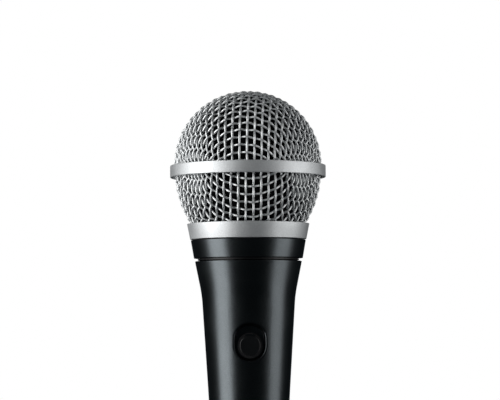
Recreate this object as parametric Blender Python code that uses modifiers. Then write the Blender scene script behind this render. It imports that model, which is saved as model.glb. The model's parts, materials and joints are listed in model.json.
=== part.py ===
"""A handheld dynamic vocal microphone, built as an assembly of separate named pieces.

Everything is in metres. +Z runs along the microphone's axis, from the connector end up to the grille, and the
origin is the centre of the connector end's flat rim. The switch faces -Y. Pieces that touch on the real
object keep a gap of 0.3 mm here. Threads are plain cylinders.
"""

import math

import bmesh
import bpy
from mathutils import Matrix, Vector

GAP = 0.0003  # between pieces that touch
PAST = 0.001  # how far a cutter runs past the face that it opens
BODY_SEGMENTS = 40
PART_SEGMENTS = 28
SMALL_SEGMENTS = 12

# Head: a woven dome and a woven skirt, held together by a band and standing in a threaded collar.
HEAD_RADIUS = 0.02515  # outside of the dome's wires
HEAD_CENTRE_Z = 0.13785
MESH_THICKNESS = 0.0014  # two crossing wires
SKIRT_ARC_RADIUS = 0.0331  # the skirt's side is an arc about a point beyond the axis
SKIRT_ARC_CENTRE = (-0.00815, 0.1356)
SKIRT_FOOT_RADIUS = 0.0197
SKIRT_FOOT_Z = 0.1177
SKIRT_BOTTOM_Z = 0.1162
SKIRT_TOP_Z = 0.1353
DOME_BOTTOM_Z = 0.1359
BAND_RADIUS = 0.0265
BAND_Z = (0.13345, 0.1375)
BAND_EDGE = 0.00035
COLLAR_Z = (0.1124, 0.1177)
COLLAR_RADII = (0.01975, 0.0208)  # at its foot and at its top edge
COLLAR_EDGE = 0.00015
THREAD_RADIUS = 0.0166
THREAD_BORE_RADIUS = THREAD_RADIUS + GAP
FOAM_THICKNESS = 0.005
FOAM_SKIRT_THICKNESS = 0.003
FOAM_CLEARANCE = 0.0004
FOAM_SPLIT_Z = 0.1345
FOAM_BOTTOM_Z = 0.1194

# Name ring and threaded neck, between the head and the handle.
NAME_RING_Z = (0.10595, 0.1121)
NAME_RING_RADII = (0.0185, 0.01955)
NECK_TOP_Z = 0.1186
NECK_FLANGE_RADIUS = 0.0172
NECK_FLANGE_Z = (0.1053, 0.10565)
NECK_PLUG_RADIUS = 0.0142
NECK_PLUG_BORE = 0.0126
NECK_BOTTOM_Z = 0.0955
NECK_CUP_RADIUS = 0.015
NECK_LEDGE_Z = 0.107

# Handle: a cast tube whose slope grows slowly from the tail to the grip, then opens to a flared lip.
HANDLE_TOP_Z = 0.105
TAIL_RADIUS = 0.01165
TAIL_EDGE = 0.0004
TAIL_SLOPE = 0.0121
GRIP_SLOPE = 0.0626
FLARE_SLOPE = 0.2
GRIP_Z = 0.0645  # the grip's slope is reached here
FLARE_Z = (0.0905, 0.0965)  # the slope opens to the flare's between these
HANDLE_WALL = 0.0023
CAVITY_Z = (0.0265, 0.0935)

# Connector socket in the tail.
SOCKET_RADIUS = 0.00825
SOCKET_END_Z = 0.0243
LATCH_WIDTH = 0.0022  # a slot in the socket's wall, where a plug's latch catches
LATCH_REACH = 0.0093
LATCH_END_Z = 0.0095
INSERT_Z = (0.015, 0.0235)
PIN_CIRCLE_RADIUS = 0.00396
PIN_RADIUS = 0.00118
PIN_Z = (0.002, 0.027)
PIN_ANGLES = (0.0, 180.0, 270.0)  # contacts 1, 2 and 3, in degrees about +Z from +X
SET_SCREW_Z = 0.019
SET_SCREW_RADIUS = 0.00125

# Switch: a round button in a drafted pocket of the grip. It slides up to turn the microphone on.
POCKET_Z = 0.0777
POCKET_RADIUS = 0.0051  # of the pocket's round ends, at the grip's surface
POCKET_STRAIGHT = 0.0021
POCKET_DRAFT = 0.28  # the wall's slope
POCKET_FLOOR_Y = -0.0124
BOSS_INNER_Y = -0.0106
BOSS_Z = (0.068, 0.0875)
SWITCH_TRAVEL = 0.0022
BUTTON_Z = POCKET_Z - SWITCH_TRAVEL / 2
BUTTON_RADIUS = 0.0034
BUTTON_FACE_Y = -0.0144
BUTTON_THICKNESS = 0.0008
BUTTON_EDGE = 0.0002
STEM_HALF = 0.0013
STEM_END_Y = -0.0087
SHUTTER_RADIUS = 0.0041
SHUTTER_STRAIGHT = 0.0003
SHUTTER_Y = (-0.0133, -0.0127)
SLIDER_HALF_X = 0.0024
SLIDER_HALF_Z = 0.0028
SLIDER_Y = (-0.0102, -0.0073)
FRAME_HALF_X = 0.0033
FRAME_HALF_Z = 0.0049
FRAME_WALL = 0.0006
FRAME_Y = (-0.0094, -0.0066)
BASE_Y = (-0.0063, -0.0055)
PCB_Y = (-0.0052, -0.004)
PCB_Z = (0.062, 0.0918)
PCB_HALF_X = 0.0065
TERMINAL_RADIUS = 0.0004
TERMINAL_SPACING = 0.003
CARRIER_Y = (-0.0037, -0.0021)
CARRIER_HALF_X = 0.0104
CARRIER_Z = (0.058, 0.0935)
CARRIER_RING_Z = (0.0926, 0.0942)
CARRIER_RING_RADII = (0.0085, 0.0129)
SCREW_PLACES = ((-0.0046, 0.0655), (0.0046, 0.0885))  # x and z
SCREW_RADIUS = 0.0008
SCREW_HEAD_RADIUS = 0.0016

# Cartridge: the moving-coil transducer, standing on a rubber mount in the neck.
HOUSING_RADIUS = 0.012
HOUSING_BORE = 0.0109
HOUSING_CHAMBER = 0.0094
HOUSING_Z = (0.1045, 0.138)
HOUSING_FLOOR_Z = 0.1065
HOUSING_SHOULDER_Z = 0.1207
HOUSING_FLANGE_RADIUS = 0.0136
HOUSING_FLANGE_Z = (0.1158, 0.1173)
PORT_Z = (0.1285, 0.1325)
PORT_WIDTH = 0.0016
MOUNT_RADII = (0.0123, 0.0147)
MOUNT_Z = (0.1073, 0.1155)
YOKE_RADIUS = 0.01
YOKE_BORE = 0.0089
YOKE_Z = (0.121, 0.1325)
YOKE_FLOOR_Z = 0.123
MAGNET_RADIUS = 0.0069
POLE_RADIUS = 0.0074
MAGNET_Z = (YOKE_FLOOR_Z + GAP, 0.1293)
POLE_Z = (0.1296, 0.132)
COIL_RADII = (0.00775, 0.0084)
COIL_Z = (0.1288, 0.1347)
SEAT_RADII = (0.0092, 0.0106)
SEAT_Z = (0.1328, 0.1346)
DOME_EDGE_RADIUS = 0.008  # where the diaphragm's dome meets its surround
DIAPHRAGM_RADIUS = 0.0103
DIAPHRAGM_RIM_Z = 0.135
DIAPHRAGM_THICKNESS = 0.00025
DIAPHRAGM_RISE = 0.0025
SURROUND_RISE = 0.0005
CAP_Z = (0.1358, 0.1396)
CAP_LIP_Z = 0.1383
CAP_PLATE_Z = 0.1386
CAP_HOLE_CIRCLE = 0.0054
CAP_HOLE_RADIUS = 0.0013
FELT_RADIUS = 0.0085
FELT_Z = (0.1399, 0.1407)
TAG_X = 0.003
TAG_RADIUS = 0.0005
TAG_Z = (0.1029, 0.1076)
LEAD_RADIUS = 0.00055


# ---------------------------------------------------------------- scene and materials


def clear_scene():
    for obj in list(bpy.data.objects):
        bpy.data.objects.remove(obj, do_unlink=True)


def new_collection(name):
    collection = bpy.data.collections.new(name)
    bpy.context.scene.collection.children.link(collection)
    return collection


def new_material(name, colour, roughness, metallic=0.0):
    material = bpy.data.materials.new(name)
    material.use_nodes = True
    shader = material.node_tree.nodes["Principled BSDF"]
    shader.inputs["Base Color"].default_value = (*colour, 1.0)
    shader.inputs["Roughness"].default_value = roughness
    shader.inputs["Metallic"].default_value = metallic
    return material


def make_materials():
    return {
        "satin_silver": new_material("satin_silver", (0.62, 0.63, 0.63), 0.35, 1.0),
        "wire_steel": new_material("wire_steel", (0.55, 0.56, 0.56), 0.3, 1.0),
        "black_paint": new_material("black_paint", (0.012, 0.014, 0.015), 0.35),
        "black_plastic": new_material("black_plastic", (0.015, 0.015, 0.016), 0.5),
        "foam": new_material("foam", (0.02, 0.02, 0.021), 0.95),
        "rubber": new_material("rubber", (0.02, 0.02, 0.02), 0.8),
        "steel": new_material("steel", (0.6, 0.6, 0.6), 0.3, 1.0),
        "magnet": new_material("magnet", (0.42, 0.42, 0.43), 0.3, 1.0),
        "copper": new_material("copper", (0.72, 0.3, 0.14), 0.35, 1.0),
        "brass": new_material("brass", (0.75, 0.6, 0.3), 0.3, 1.0),
        "film": new_material("film", (0.7, 0.62, 0.4), 0.25),
        "board": new_material("board", (0.03, 0.16, 0.06), 0.5),
        "cloth": new_material("cloth", (0.5, 0.48, 0.42), 0.9),
        "red_wire": new_material("red_wire", (0.5, 0.02, 0.02), 0.45),
        "white_wire": new_material("white_wire", (0.7, 0.7, 0.68), 0.45),
        "black_wire": new_material("black_wire", (0.02, 0.02, 0.02), 0.45),
    }


clear_scene()
PARTS = new_collection("dynamic_microphone")
CUTTERS = new_collection("cutters")
MATERIALS = make_materials()
BODIES = {}
PLACES = {None: Vector()}


# ---------------------------------------------------------------- modelling helpers


def new_body(name, place=(0, 0, 0), parent=None):
    """An empty on the joint's axis, which the body's pieces are parented to."""
    empty = bpy.data.objects.new(name, None)
    PARTS.objects.link(empty)
    empty.parent = BODIES.get(parent)
    BODIES[name] = empty
    PLACES[name] = Vector(place)
    empty.location = PLACES[name] - PLACES[parent]


def add_piece(obj, material, body):
    """Puts an object in the parts collection, with its material, under its body's empty."""
    PARTS.objects.link(obj)
    obj.data.materials.append(MATERIALS[material])
    obj.parent = BODIES.get(body)
    obj.location = obj.location - PLACES[body]
    return obj


def add_cutter(obj):
    CUTTERS.objects.link(obj)
    obj.hide_render = True
    obj.display_type = "WIRE"
    return obj


def turned_shape(name, profile, segments, closed, place=(0, 0, 0), turn=(0, 0, 0)):
    """A profile of (radius, height) points, swept round its own Z. The outer side runs from top to bottom."""
    mesh = bpy.data.meshes.new(name)
    count = len(profile)
    edges = [(i, i + 1) for i in range(count - 1)]
    if closed:
        edges.append((count - 1, 0))
    mesh.from_pydata([(radius, 0, height) for radius, height in profile], edges, [])
    obj = bpy.data.objects.new(name, mesh)
    obj.location = place
    obj.rotation_euler = turn
    screw = obj.modifiers.new("turn", "SCREW")
    screw.axis = "Z"
    screw.steps = screw.render_steps = segments
    screw.use_merge_vertices = True
    screw.merge_threshold = 0.00001
    screw.use_smooth_shade = True
    return obj


def turned(name, profile, material, body, segments=PART_SEGMENTS, closed=False, **where):
    obj = turned_shape(name, profile, segments, closed, **where)
    return add_piece(obj, material, body)


def ring(name, radii, heights, material, body, segments=PART_SEGMENTS):
    """A plain tube between two radii and two heights."""
    inner, outer = radii
    low, high = heights
    profile = [(outer, high), (outer, low), (inner, low), (inner, high)]
    return turned(name, profile, material, body, segments, closed=True)


def disc(name, radius, heights, material, body, segments=PART_SEGMENTS):
    low, high = heights
    profile = [(0, high), (radius, high), (radius, low), (0, low)]
    return turned(name, profile, material, body, segments)


def mesh_object(name, build):
    """An object whose mesh is whatever build(bm) adds to an empty bmesh."""
    mesh = bpy.data.meshes.new(name)
    bm = bmesh.new()
    build(bm)
    bmesh.ops.recalc_face_normals(bm, faces=bm.faces)
    bm.to_mesh(mesh)
    bm.free()
    return bpy.data.objects.new(name, mesh)


def block_shape(name, low, high):
    low, high = Vector(low), Vector(high)
    size = Matrix.Diagonal((*(high - low), 1.0))
    obj = mesh_object(name, lambda bm: bmesh.ops.create_cube(bm, size=1.0, matrix=size))
    obj.location = (low + high) / 2
    return obj


def block(name, low, high, material, body):
    return add_piece(block_shape(name, low, high), material, body)


def rod_shape(name, start, end, radius, segments=SMALL_SEGMENTS):
    """A straight cylinder from one point to another."""
    start, end = Vector(start), Vector(end)
    along = end - start
    obj = mesh_object(
        name,
        lambda bm: bmesh.ops.create_cone(
            bm, cap_ends=True, segments=segments, radius1=radius, radius2=radius, depth=along.length
        ),
    )
    obj.location = (start + end) / 2
    obj.rotation_mode = "QUATERNION"
    obj.rotation_quaternion = along.to_track_quat("Z", "Y")
    return obj


def slot_shape(name, place, radii, straight, depth, segments=PART_SEGMENTS):
    """A slot with round ends, long along Z and deep along Y. The radii are of its faces at +Y and at -Y."""

    def build(bm):
        for y, radius in ((depth / 2, radii[0]), (-depth / 2, radii[1])):
            for side in (-straight / 2, straight / 2):
                for x, z in around(segments, radius):
                    bm.verts.new((x, y, z + side))
        hull = bmesh.ops.convex_hull(bm, input=bm.verts)
        inside = {v for v in hull["geom_interior"] + hull["geom_unused"] if isinstance(v, bmesh.types.BMVert)}
        bmesh.ops.delete(bm, geom=list(inside), context="VERTS")
        bmesh.ops.dissolve_limit(bm, angle_limit=0.001, verts=bm.verts, edges=bm.edges)

    obj = mesh_object(name, build)
    obj.location = place
    return obj


def boolean(obj, other, operation):
    modifier = obj.modifiers.new(operation.lower(), "BOOLEAN")
    modifier.operation = operation
    modifier.solver = "EXACT"
    modifier.object = other


def cut(obj, *cutters):
    for cutter in cutters:
        if not cutter.users_collection:
            add_cutter(cutter)
        boolean(obj, cutter, "DIFFERENCE")


def join(obj, other):
    if not other.users_collection:
        add_cutter(other)
    boolean(obj, other, "UNION")


def smooth_route(points, steps=4):
    """A Catmull-Rom curve through the points, as a list of closely spaced points."""
    ends = [points[0], *points, points[-1]]
    route = []
    for a, b, c, d in zip(ends, ends[1:], ends[2:], ends[3:]):
        a, b, c, d = Vector(a), Vector(b), Vector(c), Vector(d)
        for step in range(steps):
            t = step / steps
            bend = 2 * a - 5 * b + 4 * c - d
            twist = 3 * b - a - 3 * c + d
            route.append(0.5 * (2 * b + (c - a) * t + bend * t**2 + twist * t**3))
    return [*route, Vector(points[-1])]


def lead(name, points, material, body):
    """A round insulated wire through the points."""
    curve = bpy.data.curves.new(name, "CURVE")
    curve.dimensions = "3D"
    curve.bevel_depth = LEAD_RADIUS
    curve.bevel_resolution = 2
    curve.use_fill_caps = True
    route = smooth_route(points)
    spline = curve.splines.new("POLY")
    spline.points.add(len(route) - 1)
    for point, place in zip(spline.points, route):
        point.co = (*place, 1.0)
    return add_piece(bpy.data.objects.new(name, curve), material, body)


def around(count, radius, start=0.0):
    """Points on a circle about the axis, as (x, y)."""
    angles = [start + 2 * math.pi * i / count for i in range(count)]
    return [(radius * math.cos(a), radius * math.sin(a)) for a in angles]


def spread(low, high, count):
    """Evenly spaced values from low to high, both included."""
    return [low + (high - low) * i / (count - 1) for i in range(count)]


# ---------------------------------------------------------------- the head


def dome_arc(radius, bottom, count):
    """From the dome's top down to the equator, and on straight down to the bottom height."""
    angles = spread(0, math.pi / 2, count)
    arc = [(radius * math.sin(a), HEAD_CENTRE_Z + radius * math.cos(a)) for a in angles]
    arc[0] = (0, HEAD_CENTRE_Z + radius)
    return [*arc, (radius, bottom)]


def skirt_radius(z, inset=0.0):
    """The skirt's radius at a height, measured that far inside its outer surface."""
    centre_r, centre_z = SKIRT_ARC_CENTRE
    reach = SKIRT_ARC_RADIUS - inset
    return centre_r + math.sqrt(reach**2 - (z - centre_z) ** 2)


def shell_profile(outer, inner):
    """A shell open at the bottom: out over the outer curve and back up under the inner one."""
    return [*outer, *reversed(inner)]


def make_grille():
    outer = dome_arc(HEAD_RADIUS, DOME_BOTTOM_Z, 9)
    inner = dome_arc(HEAD_RADIUS - MESH_THICKNESS, DOME_BOTTOM_Z, 8)
    turned("grille_dome", shell_profile(outer, inner), "wire_steel", "grille", 36)

    heights = spread(SKIRT_TOP_Z, SKIRT_FOOT_Z, 5)
    outside = [(skirt_radius(z), z) for z in heights]
    inside = [(skirt_radius(z, MESH_THICKNESS), z) for z in heights]
    foot_inner = SKIRT_FOOT_RADIUS - MESH_THICKNESS
    inside[-1] = (foot_inner, SKIRT_FOOT_Z + GAP)
    profile = [*outside, (SKIRT_FOOT_RADIUS, SKIRT_BOTTOM_Z), (foot_inner, SKIRT_BOTTOM_Z)]
    turned("grille_skirt", [*profile, *reversed(inside)], "wire_steel", "grille", 36, closed=True)

    low, high = BAND_Z
    bore = HEAD_RADIUS + 1.5 * GAP
    band = [
        (BAND_RADIUS - BAND_EDGE, high), (BAND_RADIUS, high - BAND_EDGE), (BAND_RADIUS, low + BAND_EDGE),
        (BAND_RADIUS - BAND_EDGE, low), (bore, low), (bore, high),
    ]
    turned("grille_band", band, "satin_silver", "grille", BODY_SEGMENTS, closed=True)

    low, high = COLLAR_Z
    foot, top = COLLAR_RADII
    sleeve = THREAD_BORE_RADIUS + 0.0007
    groove = SKIRT_FOOT_RADIUS + GAP
    groove_z = SKIRT_BOTTOM_Z - GAP
    sleeve_top = high + 0.001
    collar = [
        (top - COLLAR_EDGE, high), (top, high - COLLAR_EDGE),
        (foot, low + COLLAR_EDGE), (foot - COLLAR_EDGE, low),
        (THREAD_BORE_RADIUS, low), (THREAD_BORE_RADIUS, sleeve_top), (sleeve, sleeve_top),
        (sleeve, groove_z), (groove, groove_z), (groove, high),
    ]
    turned("grille_collar", collar, "satin_silver", "grille", BODY_SEGMENTS, closed=True)


def make_foam():
    outside = HEAD_RADIUS - MESH_THICKNESS - FOAM_CLEARANCE
    outer = dome_arc(outside, FOAM_SPLIT_Z, 7)
    inner = dome_arc(outside - FOAM_THICKNESS, FOAM_SPLIT_Z, 6)
    turned("foam_dome", shell_profile(outer, inner), "foam", "windscreen", 24)

    inset = MESH_THICKNESS + FOAM_CLEARANCE
    heights = spread(FOAM_SPLIT_Z - GAP, FOAM_BOTTOM_Z, 4)
    outside = [(skirt_radius(z, inset), z) for z in heights]
    inside = [(r - FOAM_SKIRT_THICKNESS, z) for r, z in outside]
    turned("foam_skirt", [*outside, *reversed(inside)], "foam", "windscreen", 24, closed=True)


# ---------------------------------------------------------------- the handle, its neck and the name ring


def ramp(z, low, high):
    """The area under a slope that grows from nothing at low to its full value at high."""
    if z <= low:
        return 0.0
    if z < high:
        return (z - low) ** 2 / (2 * (high - low))
    return z - (low + high) / 2


def handle_radius(z):
    grip = (GRIP_SLOPE - TAIL_SLOPE) * ramp(z, 0, GRIP_Z)
    flare = (FLARE_SLOPE - GRIP_SLOPE) * ramp(z, *FLARE_Z)
    return TAIL_RADIUS + TAIL_SLOPE * z + grip + flare


def handle_outside():
    heights = [
        HANDLE_TOP_Z - TAIL_EDGE / 2, 0.1, *spread(*reversed(FLARE_Z), 4), *spread(0.082, TAIL_EDGE, 8),
    ]
    side = [(handle_radius(z), z) for z in heights]
    top = [(0, HANDLE_TOP_Z), (handle_radius(HANDLE_TOP_Z) - TAIL_EDGE / 2, HANDLE_TOP_Z)]
    return [*top, *side, (TAIL_RADIUS - TAIL_EDGE, 0), (0, 0)]


def handle_inside():
    """The mouth for the neck, the cavity, and the connector socket, as one cutter from top to tail."""
    mouth = NECK_PLUG_RADIUS + GAP
    mouth_z = NECK_BOTTOM_Z - GAP
    cavity = [(handle_radius(z) - HANDLE_WALL, z) for z in spread(*reversed(CAVITY_Z), 6)]
    above = HANDLE_TOP_Z + PAST
    return [
        (0, above), (mouth, above), (mouth, mouth_z), *cavity,
        (SOCKET_RADIUS, SOCKET_END_Z), (SOCKET_RADIUS, -PAST), (0, -PAST),
    ]


def make_handle():
    handle = turned("handle_body", handle_outside(), "black_paint", None, BODY_SEGMENTS)
    cavity = add_cutter(turned_shape("cavity", handle_inside(), BODY_SEGMENTS, False))
    wide = 2 * TAIL_RADIUS
    boss = block_shape("boss", (-wide, -wide, BOSS_Z[0]), (wide, BOSS_INNER_Y, BOSS_Z[1]))
    cut(cavity, boss)

    depth = 0.004
    middle_y = POCKET_FLOOR_Y - depth / 2
    surface_depth = handle_radius(POCKET_Z) + POCKET_FLOOR_Y
    floor_radius = POCKET_RADIUS - POCKET_DRAFT * (surface_depth - 0.0006)
    outer_radius = floor_radius + POCKET_DRAFT * depth
    radii = (floor_radius, outer_radius)
    pocket = slot_shape("pocket", (0, middle_y, POCKET_Z), radii, POCKET_STRAIGHT, depth)
    slot_x = STEM_HALF + GAP
    slot_z = STEM_HALF + SWITCH_TRAVEL / 2 + GAP
    stem_slot = block_shape(
        "stem_slot",
        (-slot_x, POCKET_FLOOR_Y - PAST, POCKET_Z - slot_z),
        (slot_x, BOSS_INNER_Y + PAST, POCKET_Z + slot_z),
    )
    latch_slot = block_shape(
        "latch_slot",
        (-LATCH_WIDTH / 2, SOCKET_RADIUS / 2, -PAST),
        (LATCH_WIDTH / 2, LATCH_REACH, LATCH_END_Z),
    )
    screw_hole = rod_shape(
        "set_screw_hole", (0, 0.005, SET_SCREW_Z), (0, 0.014, SET_SCREW_Z), SET_SCREW_RADIUS + GAP, 16
    )
    join(pocket, stem_slot)
    cut(handle, cavity, pocket, latch_slot, screw_hole)
    return screw_hole


def make_neck():
    low, high = NAME_RING_Z
    bottom, top = NAME_RING_RADII
    edge = COLLAR_EDGE
    bore = THREAD_BORE_RADIUS
    name_ring = [
        (top - edge, high), (top, high - edge), (bottom, low + edge), (bottom - edge, low),
        (bore, low), (bore, high),
    ]
    turned("name_ring", name_ring, "black_paint", None, BODY_SEGMENTS, closed=True)

    flange_low, flange_high = NECK_FLANGE_Z
    chamfer = GAP
    neck = [
        (THREAD_RADIUS - chamfer, NECK_TOP_Z), (THREAD_RADIUS, NECK_TOP_Z - chamfer),
        (THREAD_RADIUS, flange_high), (NECK_FLANGE_RADIUS, flange_high),
        (NECK_FLANGE_RADIUS, flange_low), (NECK_PLUG_RADIUS, flange_low),
        (NECK_PLUG_RADIUS, NECK_BOTTOM_Z), (NECK_PLUG_BORE, NECK_BOTTOM_Z), (NECK_PLUG_BORE, NECK_LEDGE_Z),
        (NECK_CUP_RADIUS, NECK_LEDGE_Z), (NECK_CUP_RADIUS, NECK_TOP_Z),
    ]
    turned("threaded_neck", neck, "black_plastic", None, BODY_SEGMENTS, closed=True)


# ---------------------------------------------------------------- the connector


def make_connector(screw_hole):
    low, high = INSERT_Z
    radius = SOCKET_RADIUS - GAP
    insert = disc("xlr_insert", radius, INSERT_Z, "black_plastic", None)
    for number, angle in enumerate(PIN_ANGLES, 1):
        x = PIN_CIRCLE_RADIUS * math.cos(math.radians(angle))
        y = PIN_CIRCLE_RADIUS * math.sin(math.radians(angle))
        hole = rod_shape(
            f"pin_hole_{number}", (x, y, low - PAST), (x, y, high + PAST), PIN_RADIUS + GAP, 16
        )
        cut(insert, hole)
        tip, end = PIN_Z
        cup_radius, cup_floor = 0.0008, end - 0.0025
        nose = PIN_RADIUS / 2
        pin = [
            (0, cup_floor), (cup_radius, cup_floor), (cup_radius, end), (PIN_RADIUS, end),
            (PIN_RADIUS, tip + nose), (PIN_RADIUS * 0.8, tip + nose * 0.3), (nose, tip), (0, tip),
        ]
        turned(f"xlr_pin_{number}", pin, "brass", None, SMALL_SEGMENTS, place=(x, y, 0))
    cut(insert, screw_hole)

    inner, outer = 0.0053, 0.0109
    screw = rod_shape(
        "xlr_set_screw", (0, inner, SET_SCREW_Z), (0, outer, SET_SCREW_Z), SET_SCREW_RADIUS, 16
    )
    half_slot, slot_depth = 0.0002, 0.0007
    slot = block_shape(
        "driver_slot",
        (-PAST * 2, outer - slot_depth, SET_SCREW_Z - half_slot),
        (PAST * 2, outer + PAST, SET_SCREW_Z + half_slot),
    )
    cut(add_piece(screw, "steel", None), slot)


# ---------------------------------------------------------------- the switch


def make_moving_switch():
    edge = BUTTON_EDGE
    front = -BUTTON_FACE_Y
    back = front - BUTTON_THICKNESS
    cap = [
        (0, front), (BUTTON_RADIUS - edge, front), (BUTTON_RADIUS, front - edge),
        (BUTTON_RADIUS, back), (0, back),
    ]
    to_front = (math.pi / 2, 0, 0)
    button = turned(
        "switch_button", cap, "black_plastic", "switch", PART_SEGMENTS, place=(0, 0, BUTTON_Z), turn=to_front
    )
    stem = block_shape(
        "stem",
        (-STEM_HALF, -back - edge, BUTTON_Z - STEM_HALF),
        (STEM_HALF, STEM_END_Y, BUTTON_Z + STEM_HALF),
    )
    join(button, stem)

    hole = STEM_HALF + GAP
    y0, y1 = SHUTTER_Y
    middle = (0, (y0 + y1) / 2, BUTTON_Z)
    radii = (SHUTTER_RADIUS, SHUTTER_RADIUS)
    shutter = slot_shape("switch_shutter", middle, radii, SHUTTER_STRAIGHT, y1 - y0)
    shutter_hole = block_shape(
        "shutter_hole", (-hole, y0 - PAST, BUTTON_Z - hole), (hole, y1 + PAST, BUTTON_Z + hole)
    )
    cut(add_piece(shutter, "black_plastic", "switch"), shutter_hole)

    y0, y1 = SLIDER_Y
    slider = block(
        "switch_slider",
        (-SLIDER_HALF_X, y0, BUTTON_Z - SLIDER_HALF_Z),
        (SLIDER_HALF_X, y1, BUTTON_Z + SLIDER_HALF_Z),
        "black_plastic", "switch",
    )
    socket = block_shape(
        "stem_socket", (-hole, y0 - PAST, BUTTON_Z - hole), (hole, STEM_END_Y + GAP, BUTTON_Z + hole)
    )
    cut(slider, socket)
    contact_x, contact_z = 0.0018, 0.0022
    block(
        "moving_contact",
        (-contact_x, y1 + GAP, BUTTON_Z - contact_z),
        (contact_x, FRAME_Y[1], BUTTON_Z + contact_z),
        "brass", "switch",
    )


def make_fixed_switch():
    inner_x, inner_z = FRAME_HALF_X - FRAME_WALL, FRAME_HALF_Z - FRAME_WALL
    y0, y1 = FRAME_Y
    frame = block(
        "switch_frame",
        (-FRAME_HALF_X, y0, POCKET_Z - FRAME_HALF_Z), (FRAME_HALF_X, y1, POCKET_Z + FRAME_HALF_Z),
        "steel", None,
    )
    cut(frame, block_shape(
        "frame_window", (-inner_x, y0 - PAST, POCKET_Z - inner_z), (inner_x, y1 + PAST, POCKET_Z + inner_z)
    ))
    base = block(
        "switch_base",
        (-FRAME_HALF_X, BASE_Y[0], POCKET_Z - FRAME_HALF_Z),
        (FRAME_HALF_X, BASE_Y[1], POCKET_Z + FRAME_HALF_Z),
        "black_plastic", None,
    )
    pcb = block(
        "switch_pcb", (-PCB_HALF_X, PCB_Y[0], PCB_Z[0]), (PCB_HALF_X, PCB_Y[1], PCB_Z[1]), "board", None
    )
    for number in (1, 2, 3):
        z = POCKET_Z + (number - 2) * TERMINAL_SPACING
        head_y, tail_y = BASE_Y[0], CARRIER_Y[1]
        terminal = rod_shape(f"switch_terminal_{number}", (0, head_y, z), (0, tail_y, z), TERMINAL_RADIUS, 8)
        add_piece(terminal, "brass", None)
        bore = TERMINAL_RADIUS + GAP
        hole = rod_shape(f"terminal_hole_{number}", (0, head_y - PAST, z), (0, PCB_Y[1] + PAST, z), bore, 8)
        cut(base, hole)
        cut(pcb, hole)

    carrier = block(
        "switch_carrier",
        (-CARRIER_HALF_X, CARRIER_Y[0], CARRIER_Z[0]), (CARRIER_HALF_X, CARRIER_Y[1], CARRIER_Z[1]),
        "black_plastic", None,
    )
    inner, outer = CARRIER_RING_RADII
    low, high = CARRIER_RING_Z
    profile = [(outer, high), (outer, low), (inner, low), (inner, high)]
    join(carrier, turned_shape("carrier_ring", profile, PART_SEGMENTS, True))
    window_x, window_z = 0.0035, 0.0052
    cut(carrier, block_shape(
        "carrier_window",
        (-window_x, CARRIER_Y[0] - PAST, POCKET_Z - window_z),
        (window_x, CARRIER_Y[1] + PAST, POCKET_Z + window_z),
    ))

    seat = -PCB_Y[0] + GAP
    head, shoulder = seat + 0.001, seat + 0.0005
    shank_end = -CARRIER_Y[1] + 0.0004
    profile = [
        (0, head), (SCREW_HEAD_RADIUS * 0.6, head), (SCREW_HEAD_RADIUS, shoulder), (SCREW_HEAD_RADIUS, seat),
        (SCREW_RADIUS, seat), (SCREW_RADIUS, shank_end), (0, shank_end),
    ]
    to_front = (math.pi / 2, 0, 0)
    for number, (x, z) in enumerate(SCREW_PLACES, 1):
        turned(f"pcb_screw_{number}", profile, "steel", None, SMALL_SEGMENTS, place=(x, 0, z), turn=to_front)
        hole = rod_shape(
            f"screw_hole_{number}", (x, PCB_Y[0] - PAST, z), (x, CARRIER_Y[1] + PAST, z), SCREW_RADIUS + GAP
        )
        cut(pcb, hole)
        cut(carrier, hole)


# ---------------------------------------------------------------- the cartridge


def make_housing():
    low, high = HOUSING_Z
    flange_low, flange_high = HOUSING_FLANGE_Z
    foot = 0.0004
    profile = [
        (0, HOUSING_FLOOR_Z), (HOUSING_CHAMBER, HOUSING_FLOOR_Z), (HOUSING_CHAMBER, HOUSING_SHOULDER_Z),
        (HOUSING_BORE, HOUSING_SHOULDER_Z), (HOUSING_BORE, high), (HOUSING_RADIUS, high),
        (HOUSING_RADIUS, flange_high),
        (HOUSING_FLANGE_RADIUS, flange_high), (HOUSING_FLANGE_RADIUS, flange_low),
        (HOUSING_RADIUS, flange_low), (HOUSING_RADIUS, low + foot), (HOUSING_RADIUS - foot, low), (0, low),
    ]
    housing = turned("cartridge_housing", profile, "black_plastic", "cartridge")
    half, reach = PORT_WIDTH / 2, 2 * HOUSING_RADIUS
    for number in range(4):
        port = block_shape(f"port_{number}", (-reach, -half, PORT_Z[0]), (reach, half, PORT_Z[1]))
        port.rotation_euler.z = math.pi * (number + 0.5) / 4
        cut(housing, port)
    for side, name in ((-1, "hot"), (1, "cold")):
        x = side * TAG_X
        tag = rod_shape(f"cartridge_tag_{name}", (x, 0, TAG_Z[0]), (x, 0, TAG_Z[1]), TAG_RADIUS)
        add_piece(tag, "brass", "cartridge")
        bore = TAG_RADIUS + GAP
        hole = rod_shape(f"tag_hole_{name}", (x, 0, low - PAST), (x, 0, HOUSING_FLOOR_Z + PAST), bore)
        cut(housing, hole)


def make_motor():
    """The magnet circuit that stands still in the housing."""
    low, high = YOKE_Z
    yoke = [
        (0, YOKE_FLOOR_Z), (YOKE_BORE, YOKE_FLOOR_Z), (YOKE_BORE, high),
        (YOKE_RADIUS, high), (YOKE_RADIUS, low), (0, low),
    ]
    turned("yoke_cup", yoke, "steel", "cartridge")
    disc("magnet", MAGNET_RADIUS, MAGNET_Z, "magnet", "cartridge")
    disc("pole_disc", POLE_RADIUS, POLE_Z, "steel", "cartridge")
    ring("diaphragm_seat", SEAT_RADII, SEAT_Z, "brass", "cartridge")
    cloth = (YOKE_RADIUS + GAP, HOUSING_BORE - GAP)
    ring("rear_port_cloth", cloth, (PORT_Z[0] - PAST, YOKE_Z[1]), "cloth", "cartridge", 24)


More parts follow.
